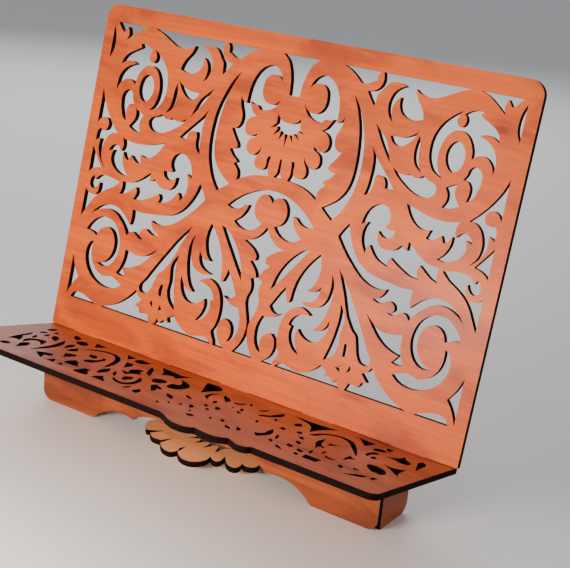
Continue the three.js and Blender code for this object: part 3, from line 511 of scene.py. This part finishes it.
@dataclass
class Sheet:
    """One laser-cut sheet: the frame node's outlines, with their round stretches made smooth."""

    node: str
    body: str
    slot: str
    place: Place
    finish: StainedPly
    detail: int = 5

    def loops(self) -> list[list[Vector]]:
        """Walks the outlines of the sheet's upper face.

        Returns:
            Closed outlines, as points in the sheet's frame.
        """
        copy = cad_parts[self.node].data.copy()
        copy.transform(self.place.value.matrix().inverted())
        bm = bmesh.new()
        bm.from_mesh(copy)
        bmesh.ops.remove_doubles(bm, verts=bm.verts, dist=FRAME_WELD)
        bm.normal_update()
        rim: dict[int, list[bmesh.types.BMVert]] = {}
        for edge in bm.edges:
            upper = [f for f in edge.link_faces if f.normal.z > UPPER_FACE]
            if len(edge.link_faces) == 2 and len(upper) == 1:
                first, second = edge.verts
                rim.setdefault(first.index, []).append(second)
                rim.setdefault(second.index, []).append(first)
        bm.verts.ensure_lookup_table()
        outlines = []
        seen: set[int] = set()
        for start in sorted(rim):
            if start in seen:
                continue
            outline = []
            here = bm.verts[start]
            while here is not None:
                seen.add(here.index)
                outline.append(here.co.copy())
                here = next((v for v in rim[here.index] if v.index not in seen), None)
            outlines.append(outline)
        bm.free()
        bpy.data.meshes.remove(copy)
        return outlines

    def curve(self) -> bpy.types.Object:
        """Draws the outlines as smooth curves with sharp corners, filled and given thickness.

        Returns:
            The curve object, centred on its own plane.
        """
        outlines = self.loops()
        low, high = self.corners()
        drawing = bpy.data.curves.new(self.node + "_drawing", "CURVE")
        drawing.dimensions = "2D"
        drawing.fill_mode = "BOTH"
        drawing.resolution_u = self.detail
        drawing.extrude = (high.z - low.z) / 2
        for outline in outlines:
            spline = drawing.splines.new("BEZIER")
            spline.bezier_points.add(len(outline) - 1)
            spline.use_cyclic_u = True
            for index, point in enumerate(spline.bezier_points):
                before = outline[index - 1]
                here = outline[index]
                after = outline[(index + 1) % len(outline)]
                point.co = (here.x, here.y, 0.0)
                first, second = (here - before).xy, (after - here).xy
                self.set_handles(point, first, second)
        made = bpy.data.objects.new(self.node + "_drawing", drawing)
        bpy.context.scene.collection.objects.link(made)
        return made

    @staticmethod
    def set_handles(point: bpy.types.BezierSplinePoint, first: Vector, second: Vector) -> None:
        """Shapes the curve at one point.

        Args:
            point: The curve's point.
            first: The stretch that arrives.
            second: The stretch that leaves.
        """
        point.handle_left_type = "FREE"
        point.handle_right_type = "FREE"
        shorter, longer = sorted((first, second), key=lambda stretch: stretch.length)
        if first.angle(second, 0.0) > CORNER_TURN:
            arrive, leave = first.normalized(), second.normalized()
        elif longer.length > STRAIGHT_RATIO * shorter.length:
            arrive = leave = longer.normalized()
        else:
            turned = first.normalized() * second.length + second.normalized() * first.length
            arrive = leave = turned.normalized()
        here = point.co.xy
        point.handle_left = (*(here - arrive * first.length / 3), 0.0)
        point.handle_right = (*(here + leave * second.length / 3), 0.0)

    def corners(self) -> tuple[Vector, Vector]:
        """Finds the frame node's box in the sheet's own frame.

        Returns:
            The box's lowest and highest corner.
        """
        inverse = self.place.value.matrix().inverted()
        places = [inverse @ v.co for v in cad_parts[self.node].data.vertices]
        return Vector(map(min, *places)), Vector(map(max, *places))

    def build(self) -> bpy.types.Object:
        """Makes the finished sheet and ties it to the frame.

        Returns:
            The piece.
        """
        drawing = self.curve()
        low, high = self.corners()
        drawn = drawing.evaluated_get(bpy.context.evaluated_depsgraph_get())
        shape = bpy.data.meshes.new_from_object(drawn)
        bpy.data.objects.remove(drawing)
        bm = bmesh.new()
        bm.from_mesh(shape)
        bmesh.ops.remove_doubles(bm, verts=bm.verts, dist=CURVE_WELD)
        bmesh.ops.dissolve_degenerate(bm, dist=FRAME_WELD, edges=bm.edges)
        for vert in bm.verts:
            vert.co.xy = [min(max(value, least), most)
                          for value, least, most in zip(vert.co.xy, low, high)]
        lift = Matrix.Translation((0.0, 0.0, (low.z + high.z) / 2))
        bmesh.ops.transform(bm, matrix=lift, verts=bm.verts)
        bmesh.ops.transform(bm, matrix=self.place.value.matrix(), verts=bm.verts)
        bmesh.ops.recalc_face_normals(bm, faces=bm.faces)
        for surface in bm.faces:
            surface.smooth = True
        bm.to_mesh(shape)
        bm.free()
        shape.set_sharp_from_angle(angle=WALL_EDGE)
        piece = bpy.data.objects.new(self.node + "_sheet", shape)
        bpy.context.scene.collection.objects.link(piece)
        shape.materials.clear()
        shape.materials.append(self.finish.material(self.place.value))
        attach(piece, self.body)
        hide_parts(self.node)
        return piece


SHEETS = [
    Sheet("backrest", "stand", "panel_wood", Place.BACKREST, PANEL_PLY),
    Sheet("shelf_top", "stand", "shelf_wood", Place.SHELF, SHELF_PLY),
    Sheet("batten_rear", "stand", "base_wood", Place.SHELF, SHADED_BASE_PLY),
    Sheet("apron_front", "stand", "base_wood", Place.CROSS, SHADED_BASE_PLY, 8),
    Sheet("rear_rail", "stand", "base_wood", Place.CROSS, SHADED_BASE_PLY, 8),
    Sheet("cheek_left", "stand", "base_wood", Place.SIDE, SHADED_BASE_PLY, 8),
    Sheet("cheek_right", "stand", "base_wood", Place.SIDE, SHADED_BASE_PLY, 8),
    Sheet("keel_rib_left", "stand", "base_wood", Place.SIDE, SHADED_BASE_PLY),
    Sheet("keel_rib_right", "stand", "base_wood", Place.SIDE, SHADED_BASE_PLY),
    Sheet("keel_board", "stand", "keel_wood", Place.LEVEL, PAINTED_LIT_KEEL_PLY, 8),
    Sheet("rear_leg", "leg", "base_wood", Place.LEG, SHADED_BASE_PLY, 8),
]


# ------------------------------------------------------------------ studio
SENSOR_WIDTH = 36.0
NEAR_CLIP = 0.01
FLOOR_REACH = 4.0
FLOOR_MOTTLE = 0.12
FLOOR_SHADE = 0.85
WORLD_COLOUR = (0.86, 0.9, 1.0, 1.0)
WORLD_STRENGTH = 0.45


@dataclass
class Studio:
    """Plain pale floor, soft light and the camera, whose eye and look are in the shelf's frame."""

    lens: float = 80.36
    eye: Vector = field(default_factory=lambda: Vector((454.0, -712.0, 203.0)) * MM)
    look: Vector = field(default_factory=lambda: Vector((-0.5126, 0.8459, -0.1472)))
    roll: float = math.radians(11.8)
    floor_colour: Colour = srgb(226, 222, 216)

    def floor(self) -> None:
        """A wide flat floor."""
        bm = bmesh.new()
        bmesh.ops.create_grid(bm, x_segments=1, y_segments=1, size=FLOOR_REACH)
        mesh = bpy.data.meshes.new("floor")
        bm.to_mesh(mesh)
        bm.free()
        floor = bpy.data.objects.new("floor", mesh)
        bpy.context.scene.collection.objects.link(floor)
        p = Palette("floor_pale")
        place = p.node("ShaderNodeTexCoord").outputs["Object"]
        mottle = p.noise(place, 3.0, 3.0)
        shade = tuple(channel * FLOOR_SHADE for channel in self.floor_colour)
        colour = p.blend(mottle * FLOOR_MOTTLE, self.floor_colour, shade)
        surface = p.node("ShaderNodeBsdfPrincipled", Base_Color=colour, Roughness=0.55)
        mesh.materials.append(p.finish(surface))

    def light(self, name: str, place: Triple, size: Span, power: float, colour: Colour,
              target: Triple = (0.0, 0.0, 0.12)) -> None:
        """Adds a soft box aimed at the stand.

        Args:
            name: The light's name.
            place: Where it hangs, in metres.
            size: Its width and height.
            power: Its power in watts.
            colour: Its colour.
            target: Where it points.
        """
        lamp = bpy.data.lights.new(name, "AREA")
        lamp.shape = "RECTANGLE"
        lamp.size, lamp.size_y = size
        lamp.energy = power
        lamp.color = colour
        made = bpy.data.objects.new(name, lamp)
        made.location = place
        aim = Vector(target) - Vector(place)
        made.rotation_euler = aim.to_track_quat("-Z", "Y").to_euler()
        bpy.context.scene.collection.objects.link(made)

    def world(self) -> None:
        """A dim even surround."""
        world = bpy.data.worlds.new("surround")
        world.use_nodes = True
        background = world.node_tree.nodes["Background"]
        background.inputs["Color"].default_value = WORLD_COLOUR
        background.inputs["Strength"].default_value = WORLD_STRENGTH
        bpy.context.scene.world = world

    def camera(self) -> None:
        """The viewpoint, given in the leaning frame of the backrest and shelf."""
        easel = Place.SHELF.value.matrix()
        right = self.look.cross(Vector((0.0, 0.0, 1.0))).normalized()
        up = right.cross(self.look).normalized()
        turned = Matrix((right, up, -self.look.normalized())).transposed()
        turned = turned @ Matrix.Rotation(self.roll, 3, "Z")
        camera = bpy.data.cameras.new("camera")
        camera.lens = self.lens
        camera.sensor_width = SENSOR_WIDTH
        camera.clip_start = NEAR_CLIP
        made = bpy.data.objects.new("camera", camera)
        made.matrix_world = easel @ Matrix.Translation(self.eye) @ turned.to_4x4()
        bpy.context.scene.collection.objects.link(made)
        bpy.context.scene.camera = made

    def build(self) -> None:
        """Sets the whole studio up."""
        self.floor()
        self.world()
        self.camera()
        self.light("key", (-0.7, -1.1, 0.8), (0.9, 0.6), 5.5, (1.0, 0.9, 0.77))
        self.light("fill", (1.1, -0.8, 0.45), (0.9, 0.6), 3.6, (1.0, 0.95, 0.9))
        self.light("low", (-0.05, -0.42, 0.16), (0.2, 0.06), 2.6, (1.0, 0.9, 0.8),
                   (0.0, -0.03, 0.01))
        self.light("window", (-0.9, 1.1, 0.9), (1.4, 0.9), 14.0, (0.88, 0.94, 1.0))


def dress_hinges() -> None:
    """Gives the hinge leaves, pins and screws their brass."""
    brass = HINGE_BRASS.material()
    for name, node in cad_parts.items():
        if name.startswith("hinge_"):
            node.data.materials.clear()
            node.data.materials.append(brass)


def main() -> None:
    """Builds the stand and its studio, reporting each piece."""
    logging.basicConfig(level=logging.INFO, format="%(name)s: %(message)s")
    for sheet in SHEETS:
        piece = sheet.build()
        LOG.info("%s: %d faces", piece.name, len(piece.data.polygons))
    dress_hinges()
    Studio().build()


if __name__ == "__main__":
    main()
